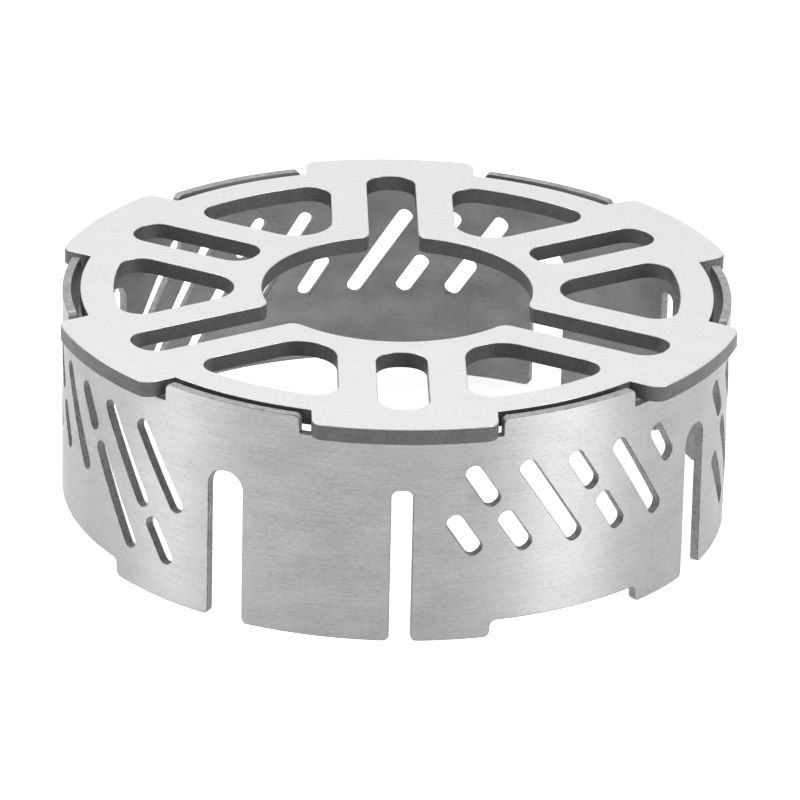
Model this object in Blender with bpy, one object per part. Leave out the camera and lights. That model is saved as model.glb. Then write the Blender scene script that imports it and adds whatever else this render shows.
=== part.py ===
"""Pot stand and windshield for a small spirit burner.

Two sheet-metal pieces: a thick six-armed top plate and a thinner rolled wall.  The plate
drops into six notches in the top rim of the wall and lifts straight off again.

Frame: metres, +Z up, the stand rests on z = 0, the axis of the ring is the Z axis.
Angles run counter-clockwise seen from above, and zero points along -Y (the front).
"""
import math

import bmesh
import bpy
from mathutils import Vector

NAME = "spirit_stove_stand"
MM = 0.001

# ---- overall -----------------------------------------------------------------------
HEIGHT = 42.7            # floor to the top face of the plate
WALL_R = 61.9            # outside radius of the rolled wall
WALL_T = 1.6             # wall sheet
PLATE_T = 3.0            # top plate sheet
FIT = 0.35               # plate to the floor of each wall notch

# ---- top plate ---------------------------------------------------------------------
LUG_R = 64.7             # outside radius of the six lugs
FRONT_LUG_HALF = 16.6    # half width of the front lug
LUG_HALF = 16.1          # half width of the other five
LUG_FILLET = 2.6
NOTCH_R = 58.6           # plate edge between two lugs
HOLE_R = 25.1            # centre opening
SLOT_HALF = 4.65         # radial slots
SLOT_OUT_R = 55.7
SLOT_IN_R = 30.1         # inner end of the three closed slots
SLOT_FILLET = 4.2
MOUTH_FILLET = 2.4       # where an open slot runs into the centre opening
WINDOW_OFFSET = 11.6     # straight side of a window, from the axis of the next slot
WINDOW_TIP_FILLET = 7.0
WINDOW_OUT_R = 52.4
WINDOW_FILLET = 4.2

# ---- wall --------------------------------------------------------------------------
TAB_HALF_DEG = 12.95     # tabs standing up between the lugs
TAB_TURN_DEG = -0.5      # the tabs sit this far round from the middle of the plate notches
TAB_FILLET = 1.2
NOTCH_Z = HEIGHT - PLATE_T - FIT
RECESS_Z = 3.2           # raised stretches of the bottom edge, between the feet
RECESSES = ((15.0, 44.0), (82.0, 107.0), (172.5, 217.5), (263.5, 304.0))
RECESS_FILLET = 1.2
FOOT_FILLET = 1.1
WIDE_SLOTS = (60.5, 149.3, 239.9, 329.2)
WIDE_SLOT_W = 7.1
WIDE_SLOT_Z = 29.25
WIDE_SLOT_FILLET = 3.4
NARROW_SLOTS = (119.8, 359.8)
NARROW_SLOT_W = 3.9
NARROW_SLOT_Z = 29.5
NARROW_SLOT_FILLET = 1.4

# Slanting vents.  Every vent lies on one of a set of parallel lines; a line is named by
# its angle at VENT_Z0 and drifts by VENT_DRIFT degrees for each millimetre further down.
VENT_W = 3.2
VENT_FILLET = 1.4
VENT_Z0 = HEIGHT - 10.0
VENT_DRIFT = 0.62
VENT_SPANS = {           # depth of the two end centres below the top face
    "top": (10.4, 15.2),
    "middle": (19.8, 24.5),
    "low": (29.1, 33.9),
    "upper_pair": (10.4, 24.5),
    "upper_short": (10.6, 23.0),
    "lower_pair": (19.8, 33.9),
    "short_low": (25.0, 34.6),
}
VENT_LINES = (
    (2.7, ("middle",)), (11.5, ("top", "middle")), (20.9, ("upper_pair",)),
    (29.9, ("top", "middle")), (39.0, ("upper_pair",)), (48.0, ("top",)),
    (61.3, ("short_low",)), (69.3, ("top", "lower_pair")), (78.4, ("upper_pair", "low")),
    (87.5, ("upper_pair",)),
    (159.0, ("top", "middle")), (167.9, ("top", "middle")), (176.9, ("upper_pair",)),
    (186.2, ("top", "middle")), (195.4, ("upper_pair",)), (204.4, ("top", "lower_pair")),
    (213.9, ("upper_pair", "low")), (222.5, ("upper_short",)),
    (247.0, ("top", "middle")), (256.3, ("top", "middle")), (265.5, ("upper_pair",)),
    (274.5, ("top", "middle")), (284.0, ("upper_pair",)), (293.0, ("top", "lower_pair")),
    (302.0, ("upper_pair", "low")), (311.0, ("upper_short",)),
)
SEAM_DEG = 110.0         # where the two ends of the strip meet
ROLL_STEP_DEG = 4.0      # facet of the rolled wall
EPS = 1e-6


# ---- small helpers -----------------------------------------------------------------
def direction(deg):
    """Unit vector in the XY plane; zero degrees is -Y and angles turn towards +X."""
    a = math.radians(deg)
    return Vector((math.sin(a), -math.cos(a)))


def arc(centre, radius, start, sweep, step_deg):
    """Points of an arc from the angle start, both ends included (radians)."""
    n = max(1, math.ceil(abs(math.degrees(sweep)) / step_deg - EPS))
    return [Vector((centre[0] + radius * math.cos(start + sweep * i / n),
                    centre[1] + radius * math.sin(start + sweep * i / n)))
            for i in range(n + 1)]


def arc_between(centre, radius, p, q, step_deg):
    """The shorter arc about centre from the direction of p to the direction of q."""
    a = math.atan2(p[1] - centre[1], p[0] - centre[0])
    b = math.atan2(q[1] - centre[1], q[0] - centre[0])
    sweep = (b - a + math.pi) % (2 * math.pi) - math.pi
    return arc(centre, radius, a, sweep, step_deg)


def rounded(corners, step_deg=22.5):
    """Closed polygon from (x, y, fillet radius) corners."""
    out = []
    n = len(corners)
    for i, (x, y, r) in enumerate(corners):
        p = Vector((x, y))
        if r <= 0:
            out.append(p)
            continue
        a = (Vector(corners[i - 1][:2]) - p).normalized()
        b = (Vector(corners[(i + 1) % n][:2]) - p).normalized()
        half = a.angle(b) / 2
        reach = r / math.tan(half)
        centre = p + (a + b).normalized() * (r / math.sin(half))
        out += arc_between(centre, r, p + a * reach, p + b * reach, step_deg)
    return out


def tidy(points):
    """Drop points that repeat their neighbour."""
    return [p for i, p in enumerate(points) if (p - points[i - 1]).length > 0.02]


def turned(points, deg):
    a = math.radians(deg)
    c, s = math.cos(a), math.sin(a)
    return [Vector((p[0] * c - p[1] * s, p[0] * s + p[1] * c)) for p in points]


def sheet(name, outlines, thickness):
    """Flat blank: filled outlines (inner ones are holes) with its faces at +-t/2."""
    curve = bpy.data.curves.new(name + "_outline", "CURVE")
    curve.dimensions = "2D"
    curve.fill_mode = "BOTH"
    curve.extrude = thickness * MM / 2
    for points in outlines:
        points = tidy(points)
        spline = curve.splines.new("POLY")
        spline.points.add(len(points) - 1)
        for target, p in zip(spline.points, points):
            target.co = (p[0] * MM, p[1] * MM, 0.0, 1.0)
        spline.use_cyclic_u = True
    holder = bpy.data.objects.new(name + "_outline", curve)
    bpy.context.scene.collection.objects.link(holder)
    bpy.context.view_layer.update()
    graph = bpy.context.evaluated_depsgraph_get()
    mesh = bpy.data.meshes.new_from_object(holder.evaluated_get(graph))
    mesh.name = name
    bpy.data.objects.remove(holder)
    bpy.data.curves.remove(curve)
    bm = bmesh.new()
    bm.from_mesh(mesh)
    bmesh.ops.remove_doubles(bm, verts=bm.verts[:], dist=1e-6)
    return mesh, bm


def finish(mesh, bm, material):
    bmesh.ops.recalc_face_normals(bm, faces=bm.faces[:])
    bm.normal_update()
    bm.to_mesh(mesh)
    bm.free()
    mesh.shade_smooth()
    mesh.set_sharp_from_angle(angle=math.radians(35))
    mesh.materials.clear()
    mesh.materials.append(material)
    obj = bpy.data.objects.new(mesh.name, mesh)
    COLLECTION.objects.link(obj)
    return obj


def steel(name, shade, roughness):
    mat = bpy.data.materials.new(name)
    mat.use_nodes = True
    bsdf = mat.node_tree.nodes["Principled BSDF"]
    bsdf.inputs["Base Color"].default_value = (shade, shade, shade * 1.01, 1.0)
    bsdf.inputs["Metallic"].default_value = 1.0
    bsdf.inputs["Roughness"].default_value = roughness
    return mat


# ---- top plate ---------------------------------------------------------------------
def lug(half_width):
    """Outline of one lug on the +Y axis, from root to root."""
    inner = half_width - LUG_FILLET
    corner = Vector((inner, math.sqrt((LUG_R - LUG_FILLET) ** 2 - inner ** 2)))
    rim_point = corner.normalized() * LUG_R
    side_point = Vector((half_width, corner.y))
    root = Vector((half_width, math.sqrt(NOTCH_R ** 2 - half_width ** 2)))
    mirror = Vector((-1.0, 1.0))
    points = [root]
    points += arc_between(corner, LUG_FILLET, side_point, rim_point, 20)
    points += arc_between((0, 0), LUG_R, rim_point, rim_point * mirror, 5)
    points += arc_between(corner * mirror, LUG_FILLET, rim_point * mirror,
                          side_point * mirror, 20)
    points.append(root * mirror)
    return points


def plate_rim():
    """Six lugs joined by the arcs of the notches between them."""
    widths = [FRONT_LUG_HALF] + [LUG_HALF] * 5
    lugs = [turned(lug(width), 180 + 60 * k) for k, width in enumerate(widths)]
    points = []
    for this, following in zip(lugs, lugs[1:] + lugs[:1]):
        points += this + arc_between((0, 0), NOTCH_R, this[-1], following[0], 5)[1:-1]
    return points


def slot_end(radius, outward):
    """Corner list entries for a slot end at the given radius on the +Y axis."""
    side = 1 if outward else -1
    return [(side * SLOT_HALF, radius, SLOT_FILLET), (-side * SLOT_HALF, radius, SLOT_FILLET)]


def centre_opening():
    """Centre hole together with the three slots that run into it."""
    reach = HOLE_R + MOUTH_FILLET
    centre = Vector((SLOT_HALF + MOUTH_FILLET,
                     math.sqrt(reach ** 2 - (SLOT_HALF + MOUTH_FILLET) ** 2)))
    on_hole = centre.normalized() * HOLE_R
    on_slot = Vector((SLOT_HALF, centre.y))
    mirror = Vector((-1.0, 1.0))
    arm = arc_between(centre, MOUTH_FILLET, on_hole, on_slot, 22.5)
    top = SLOT_OUT_R - SLOT_FILLET
    inner = SLOT_HALF - SLOT_FILLET
    arm += arc((inner, top), SLOT_FILLET, 0, math.pi / 2, 15)
    arm += arc((-inner, top), SLOT_FILLET, math.pi / 2, math.pi / 2, 15)
    arm += arc_between(centre * mirror, MOUTH_FILLET, on_slot * mirror, on_hole * mirror, 22.5)
    following = turned([on_hole], 120)[0]
    arm += arc_between((0, 0), HOLE_R, on_hole * mirror, following, 6)[1:-1]
    points = []
    for k in range(3):
        points += turned(arm, 180 + 60 + 120 * k)
    return points


def closed_slot(deg):
    corners = slot_end(SLOT_OUT_R, True) + slot_end(SLOT_IN_R, False)
    return turned(rounded(corners, 15), 180 + deg)


def window(deg):
    """Rounded triangle between two arms, built on the +Y axis and then turned."""
    lean = math.radians(30)
    side = Vector((math.sin(lean), math.cos(lean)))
    inward = Vector((-math.cos(lean), math.sin(lean)))
    tip = Vector((0, (WINDOW_OFFSET + WINDOW_TIP_FILLET) / math.sin(lean)))
    offset = WINDOW_OFFSET + WINDOW_FILLET
    reach = WINDOW_OUT_R - WINDOW_FILLET
    corner = inward * offset + side * math.sqrt(reach ** 2 - offset ** 2)
    mirror = Vector((-1.0, 1.0))
    tip_tangent = tip - inward * WINDOW_TIP_FILLET
    side_tangent = corner - inward * WINDOW_FILLET
    rim_point = corner.normalized() * WINDOW_OUT_R
    points = arc_between(corner, WINDOW_FILLET, side_tangent, rim_point, 20)
    points += arc_between((0, 0), WINDOW_OUT_R, rim_point, rim_point * mirror, 5)[1:-1]
    points += arc_between(corner * mirror, WINDOW_FILLET, rim_point * mirror,
                          side_tangent * mirror, 20)
    points += arc_between(tip, WINDOW_TIP_FILLET, tip_tangent * mirror, tip_tangent, 15)
    return turned(points, 180 + deg)


def build_plate():
    outlines = [plate_rim(), centre_opening()]
    outlines += [closed_slot(deg) for deg in (0, 120, 240)]
    outlines += [window(30 + 60 * k) for k in range(6)]
    mesh, bm = sheet("top_plate", outlines, PLATE_T)
    bmesh.ops.translate(bm, verts=bm.verts[:], vec=(0, 0, (HEIGHT - PLATE_T / 2) * MM))
    return finish(mesh, bm, steel("plate_steel", 0.78, 0.34))


# ---- wall --------------------------------------------------------------------------
def along(deg):
    """Distance along the outer face of the strip, from the front."""
    return math.radians(deg) * WALL_R


def unwound(deg):
    """The same direction, expressed between the two ends of the strip."""
    start = SEAM_DEG - 360
    return start + (deg - start) % 360


def slot_corners(deg, width, top, fillet):
    x = along(unwound(deg))
    return [(x - width / 2, 0, FOOT_FILLET), (x - width / 2, top, fillet),
            (x + width / 2, top, fillet), (x + width / 2, 0, FOOT_FILLET)]


def wall_outline():
    """Outline of the flat strip: bottom edge left to right, then the top edge back."""
    features = [(unwound(d), slot_corners(d, WIDE_SLOT_W, WIDE_SLOT_Z, WIDE_SLOT_FILLET))
                for d in WIDE_SLOTS]
    features += [(unwound(d),
                  slot_corners(d, NARROW_SLOT_W, NARROW_SLOT_Z, NARROW_SLOT_FILLET))
                 for d in NARROW_SLOTS]
    for a, b in RECESSES:
        xa, xb = along(unwound(a)), along(unwound(b))
        features.append((unwound(a), [(xa, 0, RECESS_FILLET), (xa, RECESS_Z, RECESS_FILLET),
                                      (xb, RECESS_Z, RECESS_FILLET), (xb, 0, RECESS_FILLET)]))
    corners = [(along(SEAM_DEG - 360), 0, 0)]
    for _, part in sorted(features, key=lambda f: f[0]):
        corners += part
    corners += [(along(SEAM_DEG), 0, 0), (along(SEAM_DEG), NOTCH_Z, 0)]
    tabs = sorted((unwound(30 + TAB_TURN_DEG + 60 * k) for k in range(6)), reverse=True)
    for deg in tabs:
        right, left = along(deg + TAB_HALF_DEG), along(deg - TAB_HALF_DEG)
        corners += [(right, NOTCH_Z, 0), (right, HEIGHT, TAB_FILLET),
                    (left, HEIGHT, TAB_FILLET), (left, NOTCH_Z, 0)]
    corners.append((along(SEAM_DEG - 360), NOTCH_Z, 0))
    return rounded(corners, 30)


def vent(deg, span):
    """Slanted slot with rounded ends, on the line that passes deg at VENT_Z0."""
    top, bottom = VENT_SPANS[span]
    ends = [Vector((along(unwound(deg) + VENT_DRIFT * (depth - (HEIGHT - VENT_Z0))),
                    HEIGHT - depth)) for depth in (top, bottom)]
    axis = (ends[1] - ends[0]).normalized()
    across = Vector((axis.y, -axis.x)) * (VENT_W / 2)
    axis *= VENT_W / 2
    corners = [ends[0] - axis - across, ends[1] + axis - across,
               ends[1] + axis + across, ends[0] - axis + across]
    return rounded([(p.x, p.y, VENT_FILLET) for p in corners], 30)


def build_wall():
    outlines = [wall_outline()]
    for deg, spans in VENT_LINES:
        outlines += [vent(deg, span) for span in spans]
    mesh, bm = sheet("wall_ring", outlines, WALL_T)
    left, right = along(SEAM_DEG - 360) * MM, along(SEAM_DEG) * MM
    ends = [f for f in bm.faces
            if all(v.co.x < left + EPS for v in f.verts)
            or all(v.co.x > right - EPS for v in f.verts)]
    bmesh.ops.delete(bm, geom=ends, context="FACES_ONLY")
    steps = round(360 / ROLL_STEP_DEG)
    for i in range(1, steps):
        x = left + (right - left) * i / steps
        bmesh.ops.bisect_plane(bm, geom=bm.verts[:] + bm.edges[:] + bm.faces[:], dist=1e-5,
                               plane_co=(x, 0, 0), plane_no=(1, 0, 0))
    for v in bm.verts:
        side = direction(math.degrees(v.co.x / (WALL_R * MM)))
        radius = WALL_R * MM - WALL_T * MM / 2 + v.co.z
        v.co = Vector((side.x * radius, side.y * radius, v.co.y))
    bmesh.ops.remove_doubles(bm, verts=bm.verts[:], dist=1e-5)
    return finish(mesh, bm, steel("wall_steel", 0.66, 0.38))


# ---- build -------------------------------------------------------------------------
for old in list(bpy.data.objects):
    bpy.data.objects.remove(old)
COLLECTION = bpy.data.collections.new(NAME)
bpy.context.scene.collection.children.link(COLLECTION)

build_plate()
build_wall()
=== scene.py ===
"""Looks of the spirit stove stand: fine sheet-metal surfaces, brushed steel and a soft studio.

Both pieces are rebuilt here as real sheet: a flat blank with softened cut edges, which for the
wall is then rolled into a ring.  They stand for the CAD nodes top_plate and wall_ring.

Outlines are in millimetres.  Angles run counter-clockwise seen from above and start at -Y, the
front of the stand; depths are measured down from the top face of the plate.
"""
import math

import bmesh
import bpy
from mathutils import Matrix, Vector


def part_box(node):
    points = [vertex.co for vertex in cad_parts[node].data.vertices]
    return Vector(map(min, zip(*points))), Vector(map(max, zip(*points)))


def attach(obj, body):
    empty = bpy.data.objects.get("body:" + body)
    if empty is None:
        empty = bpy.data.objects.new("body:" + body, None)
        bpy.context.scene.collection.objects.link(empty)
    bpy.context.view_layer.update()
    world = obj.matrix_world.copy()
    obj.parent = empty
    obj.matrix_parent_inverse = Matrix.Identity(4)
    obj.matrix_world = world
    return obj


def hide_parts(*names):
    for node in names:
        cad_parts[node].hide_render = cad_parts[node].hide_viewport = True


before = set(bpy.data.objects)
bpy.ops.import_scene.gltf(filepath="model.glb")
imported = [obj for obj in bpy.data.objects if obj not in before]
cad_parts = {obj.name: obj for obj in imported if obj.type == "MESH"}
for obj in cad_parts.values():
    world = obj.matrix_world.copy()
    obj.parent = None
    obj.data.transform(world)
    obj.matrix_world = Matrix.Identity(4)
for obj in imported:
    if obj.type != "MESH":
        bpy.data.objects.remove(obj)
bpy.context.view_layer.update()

MM = 0.001
EPS = 1e-6               # rounding guard; a micrometre where it is a length in metres
WELD = 5 * EPS           # metres; closes the seam of the rolled wall and the slivers along its facets

# ---- overall sizes, read from the frame ----------------------------------------------
PLATE_LOW, PLATE_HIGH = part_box("top_plate")
WALL_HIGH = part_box("wall_ring")[1]
HEIGHT = PLATE_HIGH[2] / MM
PLATE_T = (PLATE_HIGH[2] - PLATE_LOW[2]) / MM
LUG_R = PLATE_HIGH[1] / MM
WALL_R = WALL_HIGH[0] / MM
WALL_T = 1.6
FIT = 0.35               # plate to the floor of each wall notch
PITCH_DEG = 60           # between two lugs, two tabs or two windows
BACK_DEG = 180           # the plate's outlines are built on the +Y axis, at the back

# ---- top plate -----------------------------------------------------------------------
FRONT_LUG_HALF = 16.6    # half width of the front lug
LUG_HALF = 16.1          # half width of the other five
LUG_FILLET = 2.6
LUG_ROOT_FILLET = 0.4
NOTCH_R = 58.6           # plate edge between two lugs
HOLE_R = 25.1
CLOSED_SLOTS = (0, 120, 240)
OPEN_SLOTS = (60, 180, 300)     # these run into the centre hole
SLOT_HALF = 4.65
SLOT_OUT_R = 55.7
SLOT_IN_R = 30.1
SLOT_FILLET = 4.2
MOUTH_FILLET = 2.4       # where an open slot meets the centre hole
WINDOW_OFFSET = 11.6     # straight side of a window, from the axis of the next slot
WINDOW_TIP_FILLET = 7.0
WINDOW_OUT_R = 52.4
WINDOW_FILLET = 4.2
PLATE_EDGE = 0.12        # softened edge of the thick sheet

# ---- wall ----------------------------------------------------------------------------
TAB_HALF_DEG = 12.95
TAB_TURN_DEG = -0.5      # the tabs sit this far round from the middle of the plate's notches
TAB_FILLET = 1.2
TAB_ROOT_FILLET = 0.25
NOTCH_Z = HEIGHT - PLATE_T - FIT
RECESS_Z = 3.2           # raised stretches of the bottom edge, between the feet
RECESSES = ((15.0, 44.0), (82.0, 107.0), (172.5, 217.5), (263.5, 304.0))
RECESS_FILLET = 1.2
FOOT_FILLET = 1.1
WIDE_SLOTS = (60.5, 149.3, 239.9, 329.2)
WIDE_SLOT_W = 7.1
WIDE_SLOT_Z = 29.25
WIDE_SLOT_FILLET = 3.4
NARROW_SLOTS = (119.8, 359.8)
NARROW_SLOT_W = 3.9
NARROW_SLOT_Z = 29.5
NARROW_SLOT_FILLET = 1.4
VENT_W = 3.2
VENT_FILLET = 1.4
VENT_DEPTH0 = 10.0       # depth at which VENT_LINES gives the direction of a vent
VENT_DRIFT = 0.62        # degrees further round for each millimetre further down
VENT_SPANS = {           # depths of the two end centres
    "top": (10.4, 15.2),
    "middle": (19.8, 24.5),
    "low": (29.1, 33.9),
    "upper_pair": (10.4, 24.5),
    "upper_short": (10.6, 23.0),
    "lower_pair": (19.8, 33.9),
    "short_low": (25.0, 34.6),
}
VENT_LINES = (           # direction of each line of vents, and the vents on it
    (2.7, ("middle",)), (11.5, ("top", "middle")), (20.9, ("upper_pair",)),
    (29.9, ("top", "middle")), (39.0, ("upper_pair",)), (48.0, ("top",)),
    (61.3, ("short_low",)), (69.3, ("top", "lower_pair")), (78.4, ("upper_pair", "low")),
    (87.5, ("upper_pair",)),
    (159.0, ("top", "middle")), (167.9, ("top", "middle")), (176.9, ("upper_pair",)),
    (186.2, ("top", "middle")), (195.4, ("upper_pair",)), (204.4, ("top", "lower_pair")),
    (213.9, ("upper_pair", "low")), (222.5, ("upper_short",)),
    (247.0, ("top", "middle")), (256.3, ("top", "middle")), (265.5, ("upper_pair",)),
    (274.5, ("top", "middle")), (284.0, ("upper_pair",)), (293.0, ("top", "lower_pair")),
    (302.0, ("upper_pair", "low")), (311.0, ("upper_short",)),
)
SEAM_DEG = 110.0         # where the two ends of the strip meet
ROLL_STEP_DEG = 2.5      # facet of the rolled wall
WALL_EDGE = 0.15         # softened edge of the thin sheet

# ---- meshing ---------------------------------------------------------------------------
FILLET_STEP = 10         # degrees between the points of a small arc
HOLE_STEP = 3            # the same on the centre hole
RIM_STEP = 2             # and on the rims
SHORTEST = 0.01          # closer points of an outline are one point
FLAT_Z = 0.999           # a normal steeper than this belongs to a flat face of the sheet
SIDE_Z = 0.01            # and one flatter than this to a cut side; bevels lie between

# ---- steel -----------------------------------------------------------------------------
COOL = 1.01              # the steel's blue, relative to its red and green
PATCHY = 0.15            # share by which the roughness falls or rises with the tone
NOISE_LOW, NOISE_HIGH = 0.3, 0.7        # the range most of a noise lies in
GRAIN = {"cell_mm": (1.0, 0.42, 1), "detail": 4.0, "offset": 3.7, "dimensions": "2D"}
LINES = {"cell_mm": (9.0, 0.35, 1), "detail": 3.0, "offset": 11.3, "dimensions": "2D"}
CLOUDS = {"cell_mm": (9.0, 5.0, 1), "detail": 3.0, "offset": 7.9, "dimensions": "2D"}
SPECKLE = {"detail": 4.0, "offset": 5.1, "dimensions": "3D"}
BLOTCHES = {"cell_mm": (3.0, 3.0, 3.0), "detail": 2.0, "offset": 8.3, "dimensions": "3D"}
GRAIN_SHARE, LINES_SHARE = 0.6, 0.4
SPECKLE_SHARE, BLOTCHES_SHARE = 0.7, 0.3
QUARTER_TURN = 0.25      # lays the sheen of the brushed faces across the brush lines

# Order of the materials on a piece: the face turned up or out, the face turned down or in,
# the laser-cut side, its worn outer edge, and the ground top of the wall's tabs.
UPPER, LOWER, CUT, WORN, RIM = range(5)

# ---- camera and studio -----------------------------------------------------------------
# Angles are in degrees, distances and the floor in metres, lens and sensor in millimetres.
CAMERA_AZIMUTH = -1.84
CAMERA_ELEVATION = 22.72
CAMERA_DISTANCE = 1.2888
CAMERA_LENS = 313.36
CAMERA_ROLL = 1.263
AIM_BELOW_DEG = 0.9204   # the view's centre lies this far under the middle of the plate
AIM_RIGHT_DEG = 0.0230
SENSOR_WIDTH = 36.0
CLIP_NEAR, CLIP_FAR = 0.05, 20.0
FLOOR_HALF = 4.0
FLOOR_GREY = 0.8
FLOOR_GLOW = 0.75
ROOM_FRONT_Y, ROOM_BACK_Y = -0.9, 1.0   # the room brightens between these directions
ROOM_DIM, ROOM_BRIGHT = 0.32, 0.75
WHITE = (1, 1, 1, 1)


# ---- outlines --------------------------------------------------------------------------
def direction(deg):
    """Level unit vector that points away from the axis at this angle."""
    a = math.radians(deg)
    return Vector((math.sin(a), -math.cos(a)))


def arc_between(centre, radius, p, q, step_deg=FILLET_STEP):
    """The shorter arc about centre from the direction of p to the direction of q."""
    a = math.atan2(p[1] - centre[1], p[0] - centre[0])
    b = math.atan2(q[1] - centre[1], q[0] - centre[0])
    sweep = (b - a + math.pi) % (2 * math.pi) - math.pi
    n = max(1, math.ceil(abs(math.degrees(sweep)) / step_deg - EPS))
    return [Vector((centre[0] + radius * math.cos(a + sweep * i / n),
                    centre[1] + radius * math.sin(a + sweep * i / n)))
            for i in range(n + 1)]


def rounded(corners):
    """Closed polygon from (x, y, fillet radius) corners."""
    out = []
    for i, (x, y, r) in enumerate(corners):
        p = Vector((x, y))
        if r <= 0:
            out.append(p)
            continue
        a = (Vector(corners[i - 1][:2]) - p).normalized()
        b = (Vector(corners[(i + 1) % len(corners)][:2]) - p).normalized()
        half = a.angle(b) / 2
        reach = r / math.tan(half)
        centre = p + (a + b).normalized() * (r / math.sin(half))
        out += arc_between(centre, r, p + a * reach, p + b * reach)
    return out


def turned(points, deg):
    a = math.radians(deg)
    c, s = math.cos(a), math.sin(a)
    return [Vector((p[0] * c - p[1] * s, p[0] * s + p[1] * c)) for p in points]


def mirrored(points):
    """The points reflected in the Y axis, in the opposite order."""
    return [Vector((-p[0], p[1])) for p in reversed(points)]


def circle_y(radius, x):
    """Height above the X axis of a circle about the origin, at x."""
    return math.sqrt(radius ** 2 - x ** 2)


def lug(half_width):
    """Outline of one lug on the +Y axis, from root to root."""
    inner = half_width - LUG_FILLET
    corner = Vector((inner, circle_y(LUG_R - LUG_FILLET, inner)))
    outer = half_width + LUG_ROOT_FILLET
    root = Vector((outer, circle_y(NOTCH_R + LUG_ROOT_FILLET, outer)))
    on_rim = corner.normalized() * LUG_R
    half = arc_between(root, LUG_ROOT_FILLET, (0, 0), (half_width, root.y))
    half += arc_between(corner, LUG_FILLET, (half_width, corner.y), on_rim)
    rim = arc_between((0, 0), LUG_R, on_rim, mirrored([on_rim])[0], RIM_STEP)
    return half + rim[1:-1] + mirrored(half)


def plate_rim():
    """Six lugs joined by the arcs of the notches between them."""
    widths = [FRONT_LUG_HALF] + [LUG_HALF] * 5
    lugs = [turned(lug(width), BACK_DEG + PITCH_DEG * k) for k, width in enumerate(widths)]
    points = []
    for this, following in zip(lugs, lugs[1:] + lugs[:1]):
        points += this + arc_between((0, 0), NOTCH_R, this[-1], following[0], RIM_STEP)[1:-1]
    return points


def centre_opening():
    """The centre hole with the three open slots that run into it."""
    inner = SLOT_HALF + MOUTH_FILLET
    mouth = Vector((inner, circle_y(HOLE_R + MOUTH_FILLET, inner)))
    on_hole = mouth.normalized() * HOLE_R
    end = Vector((SLOT_HALF - SLOT_FILLET, SLOT_OUT_R - SLOT_FILLET))
    half = arc_between(mouth, MOUTH_FILLET, on_hole, (SLOT_HALF, mouth.y))
    half += arc_between(end, SLOT_FILLET, (SLOT_HALF, end.y), (end.x, SLOT_OUT_R))
    arm = half + mirrored(half)
    next_start = turned([on_hole], OPEN_SLOTS[1] - OPEN_SLOTS[0])[0]
    arm += arc_between((0, 0), HOLE_R, arm[-1], next_start, HOLE_STEP)[1:-1]
    return [p for deg in OPEN_SLOTS for p in turned(arm, BACK_DEG + deg)]


def closed_slot(deg):
    corners = [(SLOT_HALF, SLOT_OUT_R, SLOT_FILLET), (-SLOT_HALF, SLOT_OUT_R, SLOT_FILLET),
               (-SLOT_HALF, SLOT_IN_R, SLOT_FILLET), (SLOT_HALF, SLOT_IN_R, SLOT_FILLET)]
    return turned(rounded(corners), BACK_DEG + deg)


def window(deg):
    """Rounded triangle between two slots, built on the +Y axis and then turned."""
    lean = math.radians(PITCH_DEG / 2)
    side = Vector((math.sin(lean), math.cos(lean)))
    inward = Vector((-math.cos(lean), math.sin(lean)))
    tip = Vector((0, (WINDOW_OFFSET + WINDOW_TIP_FILLET) / math.sin(lean)))
    offset = WINDOW_OFFSET + WINDOW_FILLET
    corner = inward * offset + side * circle_y(WINDOW_OUT_R - WINDOW_FILLET, offset)
    on_rim = corner.normalized() * WINDOW_OUT_R
    half = arc_between(tip, WINDOW_TIP_FILLET, (0, 0), tip - inward * WINDOW_TIP_FILLET)[1:]
    half += arc_between(corner, WINDOW_FILLET, corner - inward * WINDOW_FILLET, on_rim)
    points = half + arc_between((0, 0), WINDOW_OUT_R, on_rim, mirrored([on_rim])[0], RIM_STEP)[1:-1]
    points += mirrored(half)
    points.append(tip - Vector((0, WINDOW_TIP_FILLET)))
    return turned(points, BACK_DEG + deg)


def along(deg):
    """Distance along the outer face of the strip, from the front."""
    return math.radians(deg) * WALL_R


def unwound(deg):
    """The same direction, expressed between the two ends of the strip."""
    start = SEAM_DEG - 360
    return start + (deg - start) % 360


def slot_corners(deg, width, top, fillet):
    """Corners of a slot that is open at the bottom edge of the strip."""
    x = along(unwound(deg))
    return [(x - width / 2, 0, FOOT_FILLET), (x - width / 2, top, fillet),
            (x + width / 2, top, fillet), (x + width / 2, 0, FOOT_FILLET)]


def wall_outline():
    """Outline of the flat strip: bottom edge left to right, then the top edge back."""
    features = [slot_corners(d, WIDE_SLOT_W, WIDE_SLOT_Z, WIDE_SLOT_FILLET)
                for d in WIDE_SLOTS]
    features += [slot_corners(d, NARROW_SLOT_W, NARROW_SLOT_Z, NARROW_SLOT_FILLET)
                 for d in NARROW_SLOTS]
    for a, b in RECESSES:
        left, right = along(unwound(a)), along(unwound(b))
        features.append([(left, 0, RECESS_FILLET), (left, RECESS_Z, RECESS_FILLET),
                         (right, RECESS_Z, RECESS_FILLET), (right, 0, RECESS_FILLET)])
    corners = [(along(SEAM_DEG - 360), 0, 0)]
    corners += [c for feature in sorted(features) for c in feature]
    corners += [(along(SEAM_DEG), 0, 0), (along(SEAM_DEG), NOTCH_Z, 0)]
    tabs = [unwound(PITCH_DEG / 2 + TAB_TURN_DEG + PITCH_DEG * k) for k in range(6)]
    for deg in sorted(tabs, reverse=True):
        right, left = along(deg + TAB_HALF_DEG), along(deg - TAB_HALF_DEG)
        corners += [(right, NOTCH_Z, TAB_ROOT_FILLET), (right, HEIGHT, TAB_FILLET),
                    (left, HEIGHT, TAB_FILLET), (left, NOTCH_Z, TAB_ROOT_FILLET)]
    corners.append((along(SEAM_DEG - 360), NOTCH_Z, 0))
    return rounded(corners)


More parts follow.
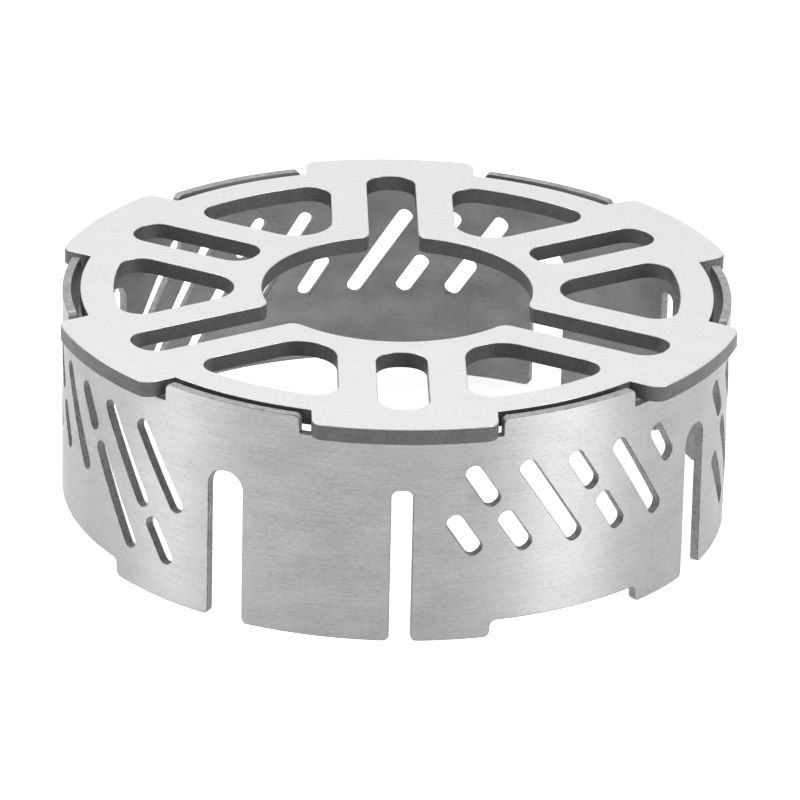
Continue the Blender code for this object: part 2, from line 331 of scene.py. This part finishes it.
def vent(deg, span):
    """Slanted slot with rounded ends on the line named by deg."""
    top, bottom = [Vector((along(unwound(deg) + VENT_DRIFT * (depth - VENT_DEPTH0)), HEIGHT - depth))
                   for depth in VENT_SPANS[span]]
    axis = (bottom - top).normalized() * (VENT_W / 2)
    across = Vector((axis.y, -axis.x))
    corners = (top - axis - across, bottom + axis - across,
               bottom + axis + across, top - axis + across)
    return rounded([(p.x, p.y, VENT_FILLET) for p in corners])


# ---- sheet metal -----------------------------------------------------------------------
def blank(name, outlines, thickness, edge):
    """Flat sheet from filled outlines, its faces at +-thickness/2 and its edges softened."""
    curve = bpy.data.curves.new(name + "_outline", "CURVE")
    curve.dimensions = "2D"
    curve.fill_mode = "BOTH"
    curve.extrude = (thickness / 2 - edge) * MM
    curve.bevel_depth = edge * MM
    curve.bevel_resolution = 1
    curve.offset = -edge * MM
    for points in outlines:
        points = [p for i, p in enumerate(points) if (p - points[i - 1]).length > SHORTEST]
        spline = curve.splines.new("POLY")
        spline.points.add(len(points) - 1)
        for target, p in zip(spline.points, points):
            target.co = (p[0] * MM, p[1] * MM, 0.0, 1.0)
        spline.use_cyclic_u = True
    holder = bpy.data.objects.new(name + "_outline", curve)
    bpy.context.scene.collection.objects.link(holder)
    bpy.context.view_layer.update()
    graph = bpy.context.evaluated_depsgraph_get()
    mesh = bpy.data.meshes.new_from_object(holder.evaluated_get(graph))
    mesh.name = name
    bpy.data.objects.remove(holder)
    bpy.data.curves.remove(curve)
    bm = bmesh.new()
    bm.from_mesh(mesh)
    bmesh.ops.remove_doubles(bm, verts=bm.verts[:], dist=EPS)
    bmesh.ops.recalc_face_normals(bm, faces=bm.faces[:])
    bm.normal_update()
    return mesh, bm


def sheet_normals(bm):
    """Normals of the flat sheet: faces stay flat, cut edges follow the outline."""
    normals = []
    for v in bm.verts:
        faces = [f.normal for f in v.link_faces]
        face = [n for n in faces if abs(n.z) > FLAT_Z]
        side = [n for n in faces if abs(n.z) < SIDE_Z]
        total = Vector()
        for n in face or side or faces:
            total += n
        normals.append(total.normalized())
    return normals


def paint_faces(bm):
    """Gives each face of the flat sheet its material: UPPER, LOWER, CUT or WORN."""
    for f in bm.faces:
        if abs(f.normal.z) > FLAT_Z:
            f.material_index = UPPER if f.normal.z > 0 else LOWER
        else:
            f.material_index = WORN if f.normal.z > SIDE_Z else CUT
        f.smooth = True


def paint_rims(bm):
    """The top ends of the wall's tabs are ground flat and lose the dark cut."""
    for f in bm.faces:
        if f.material_index in (CUT, WORN) and f.normal.y > 0.5:
            if min(v.co.y for v in f.verts) > (HEIGHT - TAB_FILLET) * MM:
                f.material_index = RIM


def grain_map(bm):
    """UV map in metres along and across the rolling direction of the sheet."""
    layer = bm.loops.layers.uv.new("grain")
    for f in bm.faces:
        for loop in f.loops:
            loop[layer].uv = loop.vert.co.xy


def settle(mesh, bm, normals, materials):
    """Writes the mesh and makes its object."""
    for mat in materials:
        mesh.materials.append(mat)
    bm.to_mesh(mesh)
    bm.free()
    mesh.normals_split_custom_set_from_vertices(normals)
    obj = bpy.data.objects.new(mesh.name, mesh)
    bpy.context.scene.collection.objects.link(obj)
    return obj


def build_plate(materials):
    """Raises the flat plate until its top face lies at HEIGHT."""
    outlines = [plate_rim(), centre_opening()]
    outlines += [closed_slot(deg) for deg in CLOSED_SLOTS]
    outlines += [window(PITCH_DEG / 2 + PITCH_DEG * k) for k in range(6)]
    mesh, bm = blank("plate_sheet", outlines, PLATE_T, PLATE_EDGE)
    paint_faces(bm)
    grain_map(bm)
    normals = sheet_normals(bm)
    bmesh.ops.translate(bm, verts=bm.verts[:], vec=(0, 0, (HEIGHT - PLATE_T / 2) * MM))
    return settle(mesh, bm, normals, materials)


def build_wall(materials):
    """Cuts the flat strip into facets, rolls it about the Z axis and welds its two ends."""
    outlines = [wall_outline()]
    outlines += [vent(deg, span) for deg, spans in VENT_LINES for span in spans]
    mesh, bm = blank("wall_sheet", outlines, WALL_T, WALL_EDGE)
    left, right = along(SEAM_DEG - 360) * MM, along(SEAM_DEG) * MM
    ends = [f for f in bm.faces
            if all(v.co.x < left + EPS for v in f.verts)
            or all(v.co.x > right - EPS for v in f.verts)]
    bmesh.ops.delete(bm, geom=ends, context="FACES_ONLY")
    steps = round(360 / ROLL_STEP_DEG)
    for i in range(1, steps):
        x = left + (right - left) * i / steps
        bmesh.ops.bisect_plane(bm, geom=bm.verts[:] + bm.edges[:] + bm.faces[:], dist=EPS,
                               plane_co=(x, 0, 0), plane_no=(1, 0, 0))
    bm.normal_update()
    paint_faces(bm)
    paint_rims(bm)
    grain_map(bm)
    layer = bm.verts.layers.float_vector.new("rolled_normal")
    flat = sheet_normals(bm)
    for v, n in zip(bm.verts, flat):
        deg = math.degrees(v.co.x / (WALL_R * MM))
        out, forward = direction(deg), direction(deg + 90)
        radius = (WALL_R - WALL_T / 2) * MM + v.co.z
        v.co = Vector((out.x * radius, out.y * radius, v.co.y))
        level = out * n.z + forward * n.x
        v[layer] = Vector((level.x, level.y, n.y))
    bmesh.ops.remove_doubles(bm, verts=bm.verts[:], dist=WELD)
    normals = [v[layer].copy() for v in bm.verts]
    return settle(mesh, bm, normals, materials)


# ---- materials -------------------------------------------------------------------------
def link(mat, value, socket):
    """Sets a socket to a number or colour, or joins it to another node's output."""
    if isinstance(value, bpy.types.NodeSocket):
        mat.node_tree.links.new(value, socket)
    else:
        socket.default_value = value


def calc(mat, operation, a, b):
    """Output of a math node over two numbers or sockets."""
    node = mat.node_tree.nodes.new("ShaderNodeMath")
    node.operation = operation
    link(mat, a, node.inputs[0])
    link(mat, b, node.inputs[1])
    return node.outputs["Value"]


def noise(mat, vector, cell_mm, detail, offset, dimensions):
    """Noise whose cells measure cell_mm along each axis of the vector."""
    nodes = mat.node_tree.nodes
    place = nodes.new("ShaderNodeMapping")
    place.inputs["Location"].default_value = (offset, offset, offset)
    place.inputs["Scale"].default_value = [1 / (size * MM) for size in cell_mm]
    link(mat, vector, place.inputs["Vector"])
    tex = nodes.new("ShaderNodeTexNoise")
    tex.noise_dimensions = dimensions
    tex.inputs["Scale"].default_value = 1.0
    tex.inputs["Detail"].default_value = detail
    link(mat, place.outputs["Vector"], tex.inputs["Vector"])
    return tex.outputs["Fac"]


def blend(mat, parts):
    """Sum of (noise, weight) pairs."""
    total = 0.0
    for value, weight in parts:
        total = calc(mat, "ADD", calc(mat, "MULTIPLY", value, weight), total)
    return total


def spread(mat, value, low, high):
    """Maps the middle of a noise's range onto low..high."""
    node = mat.node_tree.nodes.new("ShaderNodeMapRange")
    node.inputs["From Min"].default_value = NOISE_LOW
    node.inputs["From Max"].default_value = NOISE_HIGH
    node.inputs["To Min"].default_value = low
    node.inputs["To Max"].default_value = high
    link(mat, value, node.inputs["Value"])
    return node.outputs["Result"]


def metal(mat, tone, shade, contrast, roughness, relief, bump_mm):
    """Steel whose colour and roughness follow tone, and whose surface follows relief."""
    nodes = mat.node_tree.nodes
    bsdf = nodes["Principled BSDF"]
    bsdf.inputs["Metallic"].default_value = 1.0
    grey = spread(mat, tone, shade * (1 - contrast), shade * (1 + contrast))
    colour = nodes.new("ShaderNodeCombineColor")
    link(mat, grey, colour.inputs["Red"])
    link(mat, grey, colour.inputs["Green"])
    link(mat, calc(mat, "MULTIPLY", grey, COOL), colour.inputs["Blue"])
    link(mat, colour.outputs["Color"], bsdf.inputs["Base Color"])
    rough = spread(mat, tone, roughness * (1 + PATCHY), roughness * (1 - PATCHY))
    link(mat, rough, bsdf.inputs["Roughness"])
    bump = nodes.new("ShaderNodeBump")
    bump.inputs["Strength"].default_value = 1.0
    bump.inputs["Distance"].default_value = bump_mm * MM
    link(mat, relief, bump.inputs["Height"])
    link(mat, bump.outputs["Normal"], bsdf.inputs["Normal"])
    return bsdf


def new_material(name):
    mat = bpy.data.materials.new(name)
    mat.use_nodes = True
    return mat


def brushed(name, shade, contrast, roughness, bump_mm, anisotropy, cloud):
    """Sheet with fine short grain and longer brush lines that run along U of the grain map."""
    mat = new_material(name)
    nodes = mat.node_tree.nodes
    uv = nodes.new("ShaderNodeUVMap")
    uv.uv_map = "grain"
    vector = uv.outputs["UV"]
    grain = noise(mat, vector, **GRAIN)
    lines = noise(mat, vector, **LINES)
    clouds = noise(mat, vector, **CLOUDS)
    fine = 1 - cloud
    tone = blend(mat, [(grain, GRAIN_SHARE * fine), (lines, LINES_SHARE * fine), (clouds, cloud)])
    relief = blend(mat, [(grain, GRAIN_SHARE), (lines, LINES_SHARE)])
    bsdf = metal(mat, tone, shade, contrast, roughness, relief, bump_mm)
    bsdf.inputs["Anisotropic"].default_value = anisotropy
    bsdf.inputs["Anisotropic Rotation"].default_value = QUARTER_TURN
    tangent = nodes.new("ShaderNodeTangent")
    tangent.direction_type = "UV_MAP"
    tangent.uv_map = "grain"
    link(mat, tangent.outputs["Tangent"], bsdf.inputs["Tangent"])
    return mat


def speckled(name, shade, contrast, roughness, bump_mm, cell_mm, metallic):
    """Bare or oxidised metal with an even speckle, for the narrow faces of the sheet."""
    mat = new_material(name)
    where = mat.node_tree.nodes.new("ShaderNodeTexCoord").outputs["Object"]
    speckle = noise(mat, where, cell_mm=(cell_mm, cell_mm, cell_mm), **SPECKLE)
    blotches = noise(mat, where, **BLOTCHES)
    tone = blend(mat, [(speckle, SPECKLE_SHARE), (blotches, BLOTCHES_SHARE)])
    bsdf = metal(mat, tone, shade, contrast, roughness, speckle, bump_mm)
    bsdf.inputs["Metallic"].default_value = metallic
    return mat


# ---- stage -----------------------------------------------------------------------------
def make_floor():
    """A sheet of pale paper under the stand, with a glow of its own so that it stays white."""
    bm = bmesh.new()
    bmesh.ops.create_grid(bm, x_segments=1, y_segments=1, size=FLOOR_HALF)
    mesh = bpy.data.meshes.new("floor")
    bm.to_mesh(mesh)
    bm.free()
    mat = new_material("floor_paper")
    bsdf = mat.node_tree.nodes["Principled BSDF"]
    bsdf.inputs["Base Color"].default_value = (FLOOR_GREY, FLOOR_GREY, FLOOR_GREY, 1)
    bsdf.inputs["Roughness"].default_value = 0.9
    bsdf.inputs["Specular IOR Level"].default_value = 0.0
    bsdf.inputs["Emission Color"].default_value = WHITE
    bsdf.inputs["Emission Strength"].default_value = FLOOR_GLOW
    mesh.materials.append(mat)
    floor = bpy.data.objects.new("floor", mesh)
    bpy.context.scene.collection.objects.link(floor)


def make_world():
    """A plain studio: bright behind the stand, darker towards the camera."""
    world = bpy.data.worlds.new("studio")
    world.use_nodes = True
    bpy.context.scene.world = world
    nodes, links = world.node_tree.nodes, world.node_tree.links
    background = nodes["Background"]
    where = nodes.new("ShaderNodeTexCoord")
    split = nodes.new("ShaderNodeSeparateXYZ")
    ramp = nodes.new("ShaderNodeMapRange")
    ramp.interpolation_type = "SMOOTHSTEP"
    ramp.inputs["From Min"].default_value = ROOM_FRONT_Y
    ramp.inputs["From Max"].default_value = ROOM_BACK_Y
    ramp.inputs["To Min"].default_value = ROOM_DIM
    ramp.inputs["To Max"].default_value = ROOM_BRIGHT
    links.new(where.outputs["Generated"], split.inputs["Vector"])
    links.new(split.outputs["Y"], ramp.inputs["Value"])
    links.new(ramp.outputs["Result"], background.inputs["Strength"])
    background.inputs["Color"].default_value = WHITE


def soft_light(name, azimuth, elevation, distance, size, power):
    """Rectangular soft box that faces the middle of the stand."""
    data = bpy.data.lights.new(name, "AREA")
    data.shape = "RECTANGLE"
    data.size, data.size_y = size
    data.energy = power
    lamp = bpy.data.objects.new(name, data)
    bpy.context.scene.collection.objects.link(lamp)
    out = direction(azimuth) * math.cos(math.radians(elevation))
    place = Vector((out.x, out.y, math.sin(math.radians(elevation)))) * distance
    lamp.location = place + Vector((0, 0, HEIGHT * MM / 2))
    lamp.rotation_mode = "QUATERNION"
    lamp.rotation_quaternion = (-place).to_track_quat("-Z", "Y")


def make_camera():
    """Looks from the front and above, with the middle of the plate above the view's centre."""
    data = bpy.data.cameras.new("camera")
    data.lens = CAMERA_LENS
    data.sensor_width = SENSOR_WIDTH
    data.clip_start, data.clip_end = CLIP_NEAR, CLIP_FAR
    camera = bpy.data.objects.new("camera", data)
    bpy.context.scene.collection.objects.link(camera)
    tilt = math.radians(CAMERA_ELEVATION)
    out = direction(CAMERA_AZIMUTH) * math.cos(tilt)
    back = Vector((out.x, out.y, math.sin(tilt)))
    right = Vector((-out.y, out.x, 0)).normalized()
    up = back.cross(right)
    stand = Matrix((right, up, back)).transposed()
    roll = Matrix.Rotation(math.radians(CAMERA_ROLL), 3, "Z")
    aim = Matrix.Rotation(math.radians(-AIM_RIGHT_DEG), 3, "Y")
    aim = aim @ Matrix.Rotation(math.radians(-AIM_BELOW_DEG), 3, "X")
    turn = (stand @ roll @ aim).to_4x4()
    camera.matrix_world = Matrix.Translation(back * CAMERA_DISTANCE + Vector((0, 0, HEIGHT * MM))) @ turn
    bpy.context.scene.camera = camera


# ---- build -----------------------------------------------------------------------------
plate_face = brushed("plate_brushed", shade=0.75, contrast=0.08, roughness=0.42,
                     bump_mm=0.006, anisotropy=0.6, cloud=0.2)
wall_face = brushed("wall_brushed", shade=0.405, contrast=0.095, roughness=0.48,
                    bump_mm=0.008, anisotropy=0.8, cloud=0.25)
# The inner face of the wall is the same brushed steel, painted darker than the outer face: painted shade
# for the inside of the ring under the plate.
wall_inside_painted_shade = brushed("wall_inside_brushed_painted_shade", shade=0.265, contrast=0.14, roughness=0.50,
                      bump_mm=0.010, anisotropy=0.6, cloud=0.5)
plate_cut = speckled("plate_laser_cut", shade=0.085, contrast=0.25, roughness=0.45,
                     bump_mm=0.02, cell_mm=0.5, metallic=0.5)
plate_worn = speckled("plate_worn_edge", shade=0.60, contrast=0.25, roughness=0.38,
                      bump_mm=0.01, cell_mm=0.8, metallic=1.0)
wall_cut = speckled("wall_laser_cut", shade=0.24, contrast=0.35, roughness=0.55,
                    bump_mm=0.02, cell_mm=0.5, metallic=0.4)
wall_worn = speckled("wall_worn_edge", shade=0.16, contrast=0.80, roughness=0.50,
                     bump_mm=0.01, cell_mm=0.8, metallic=0.7)
ground_rim = speckled("ground_rim", shade=0.42, contrast=0.30, roughness=0.45,
                      bump_mm=0.01, cell_mm=0.9, metallic=1.0)

plate = build_plate((plate_face, plate_face, plate_cut, plate_worn))
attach(plate, "plate")
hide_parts("top_plate")

# The wall's inner face takes the darker grey: painted shade inside the ring.
wall = build_wall((wall_face, wall_inside_painted_shade, wall_cut, wall_worn, ground_rim))
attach(wall, "wall")
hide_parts("wall_ring")

make_floor()
make_world()
soft_light("left_softbox", azimuth=-79, elevation=22, distance=1.7, size=(0.7, 1.2), power=13)
soft_light("right_softbox", azimuth=57, elevation=22, distance=1.7, size=(0.85, 1.2), power=19)
soft_light("top_softbox", azimuth=200, elevation=65, distance=1.6, size=(1.5, 1.2), power=8)
make_camera()
bpy.context.scene.view_settings.view_transform = "Standard"
